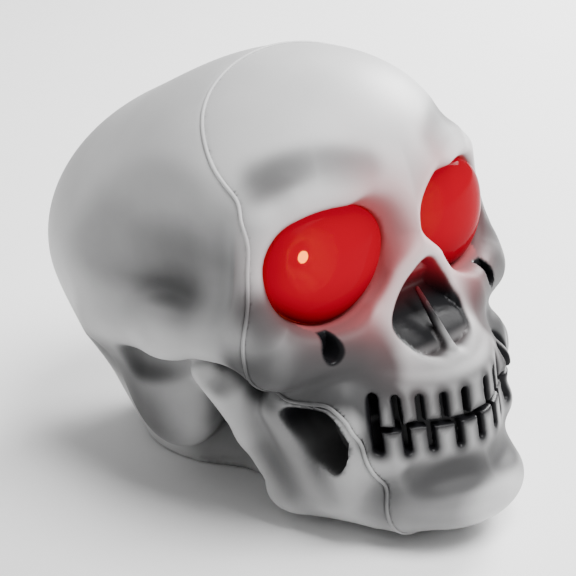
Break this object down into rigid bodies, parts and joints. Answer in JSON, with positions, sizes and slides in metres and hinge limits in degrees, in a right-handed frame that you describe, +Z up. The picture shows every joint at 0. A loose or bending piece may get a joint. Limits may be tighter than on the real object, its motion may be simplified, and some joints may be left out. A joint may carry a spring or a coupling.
{
  "type": "skull decoration",
  "caption": "Hollow plastic skull with domed red light-up eyes, moulded teeth, a flat base, and a hinged battery door and slide switch beneath.",
  "frame": {"origin": "middle of the footprint, on the plane of the flat base", "axes": "+Z up, the face looks along -Y, +X is the skull's left"},
  "size_m": [0.1318, 0.1889, 0.1501],
  "materials": {
    "bone_plastic": "satin light grey moulding, black in its recesses",
    "red_lens": "glossy translucent red",
    "white_plastic": "matte white",
    "red_diode": "clear red epoxy",
    "steel": "plated",
    "black_plastic": "matte black",
    "cell_jacket": "plain grey jacket",
    "board_green": "green board",
    "tan_resistor": "tan coating",
    "red_wire": "red insulation",
    "black_wire": "black insulation"
  },
  "bodies": {
    "skull": {"face_shell": "bone_plastic", "cranium_shell": "bone_plastic", "battery_box": "black_plastic", "control_chip": "black_plastic", "contact_positive": "steel", "contact_negative": "steel", "contact_bridge": "steel", "switch_body": "steel", "circuit_board": "board_green", "battery_lead_red": "red_wire", "battery_lead_black": "black_wire", "eye_lens_left": "red_lens", "lamp_cup_left": "white_plastic", "lamp_diode_left": "red_diode", "lamp_cup_screw_left_inner": "steel", "lamp_cup_screw_left_outer": "steel", "lamp_cable_left": "black_wire", "resistor_left": "tan_resistor", "battery_box_screw_left": "steel", "board_screw_left": "steel", "shell_screw_left": "steel", "battery_cell_left": "cell_jacket", "contact_spring_left": "steel", "eye_lens_right": "red_lens", "lamp_cup_right": "white_plastic", "lamp_diode_right": "red_diode", "lamp_cup_screw_right_inner": "steel", "lamp_cup_screw_right_outer": "steel", "lamp_cable_right": "black_wire", "resistor_right": "tan_resistor", "battery_box_screw_right": "steel", "board_screw_right": "steel", "shell_screw_right": "steel", "battery_cell_right": "cell_jacket", "contact_spring_right": "steel"},
    "battery_door": {"battery_door": "bone_plastic"},
    "switch_knob": {"switch_knob": "black_plastic"}
  },
  "joints": [
    {"name": "door_hinge", "type": "hinge", "parent": "skull", "child": "battery_door", "pos_m": [0, 0.04215, 0.002], "axis": [1, 0, 0], "range_deg": [0, 90]},
    {"name": "switch_slide", "type": "slide", "parent": "skull", "child": "switch_knob", "axis": [1, 0, 0], "range_m": [-0.002, 0.002]}
  ]
}
